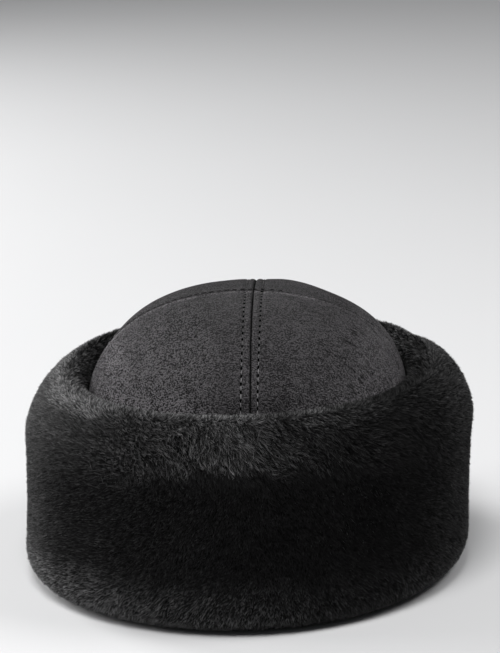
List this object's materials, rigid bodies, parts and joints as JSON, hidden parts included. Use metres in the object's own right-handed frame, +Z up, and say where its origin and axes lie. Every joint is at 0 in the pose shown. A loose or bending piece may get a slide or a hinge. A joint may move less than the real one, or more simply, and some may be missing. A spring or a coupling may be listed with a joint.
{
  "type": "fur-cuffed sheepskin hat",
  "caption": "Domed suede crown sewn from panels, with a tall padded cuff of thick fur turned up round it; a warm hat that stands on its cuff.",
  "frame": {"origin": "on the surface that the hat stands on, under the middle of its outline", "axes": "+Z up, -Y towards the front of the hat, +X towards the wearer's left"},
  "size_m": [0.2598, 0.2828, 0.1633],
  "materials": {
    "suede": "matt charcoal suede with a short brushed nap",
    "fur": "thick soft black fur, faintly glossy along the strands"
  },
  "bodies": {
    "root": {"crown_panel_front_left": "suede", "crown_panel_front_right": "suede", "crown_panel_back_left": "suede", "crown_panel_back_right": "suede", "fur_cuff": "fur"}
  },
  "joints": []
}
